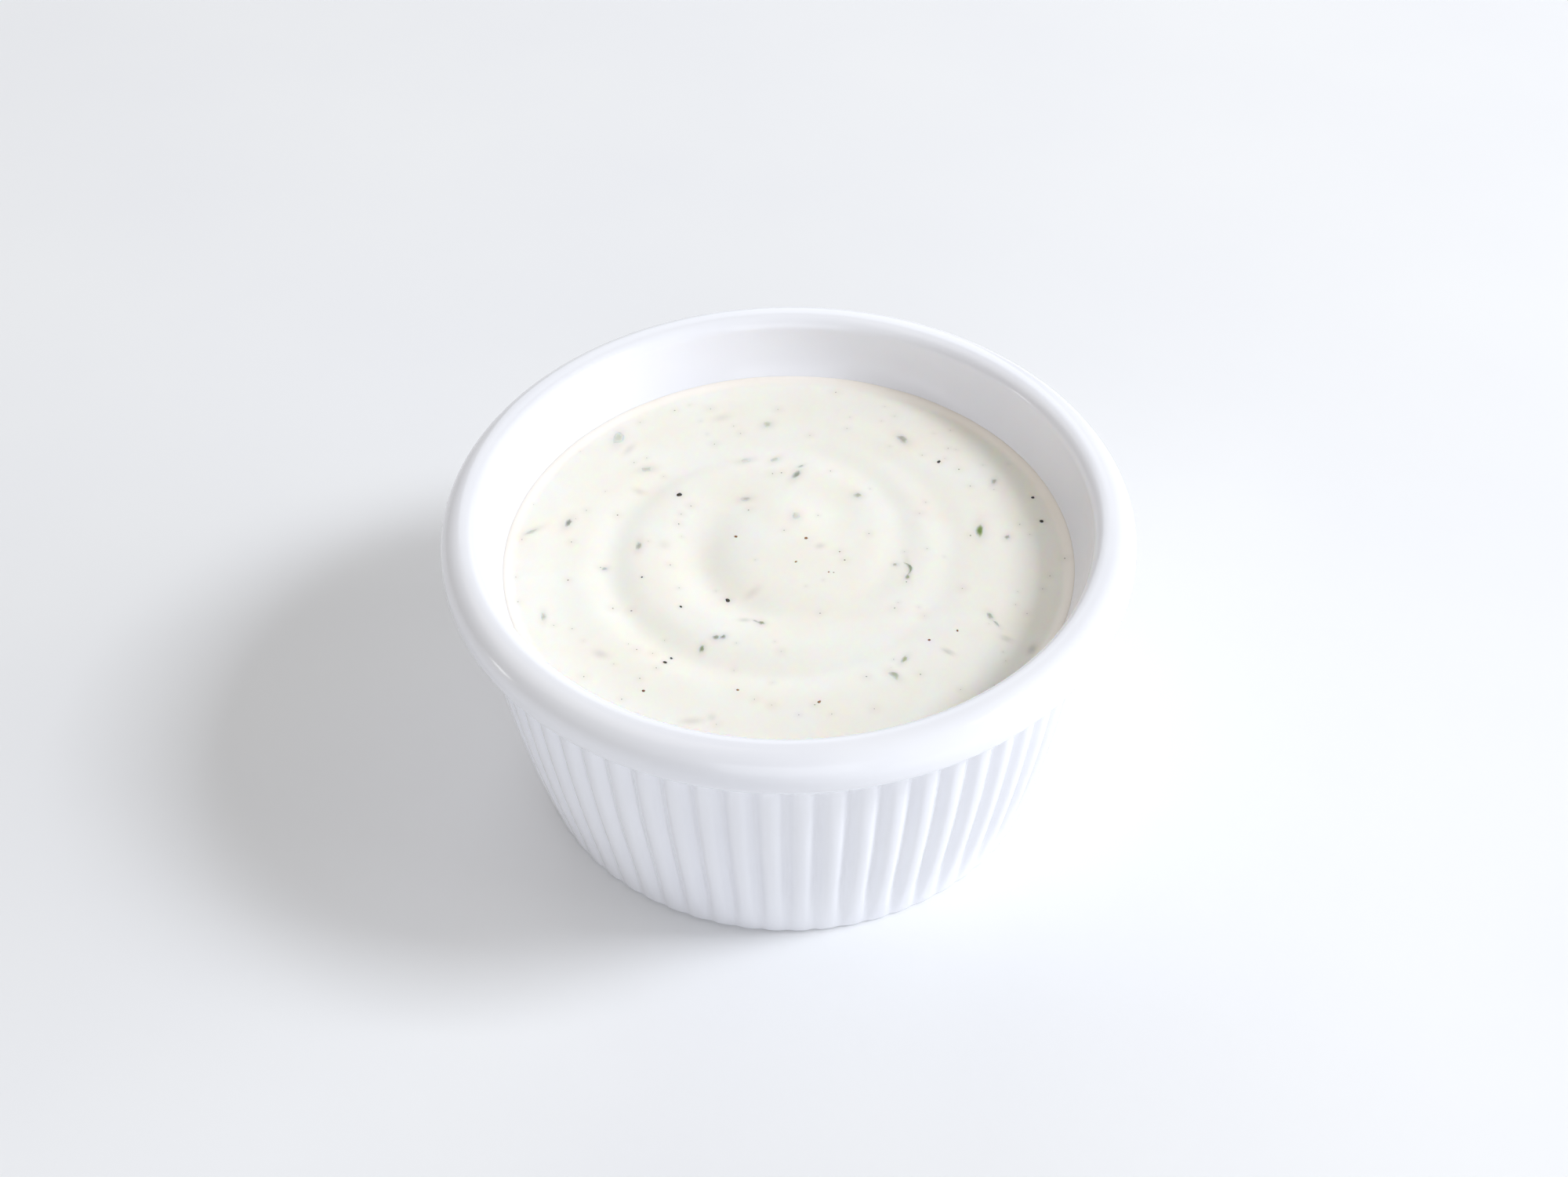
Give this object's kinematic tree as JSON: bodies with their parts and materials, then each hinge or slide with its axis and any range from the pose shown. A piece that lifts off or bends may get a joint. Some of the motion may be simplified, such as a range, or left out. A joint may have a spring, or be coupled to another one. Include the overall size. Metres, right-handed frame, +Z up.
{
  "type": "dish of ranch dip",
  "caption": "Round fluted white dish with a rolled rim, filled with creamy herb dip stirred into a flat swirl, for dipping vegetables and snacks.",
  "frame": {"origin": "centre of the foot ring, on the surface that the dish stands on", "axes": "+Z up along the dish's axis; the picture looks along +Y and down, with +X to the right"},
  "size_m": [0.084, 0.084, 0.0407],
  "materials": {
    "dish": "smooth, glossy white moulded melamine",
    "ranch_dip": "wet creamy white food with green herb flakes and dark pepper specks"
  },
  "bodies": {
    "root": {"dish": "dish", "ranch_dip": "ranch_dip"}
  },
  "joints": []
}
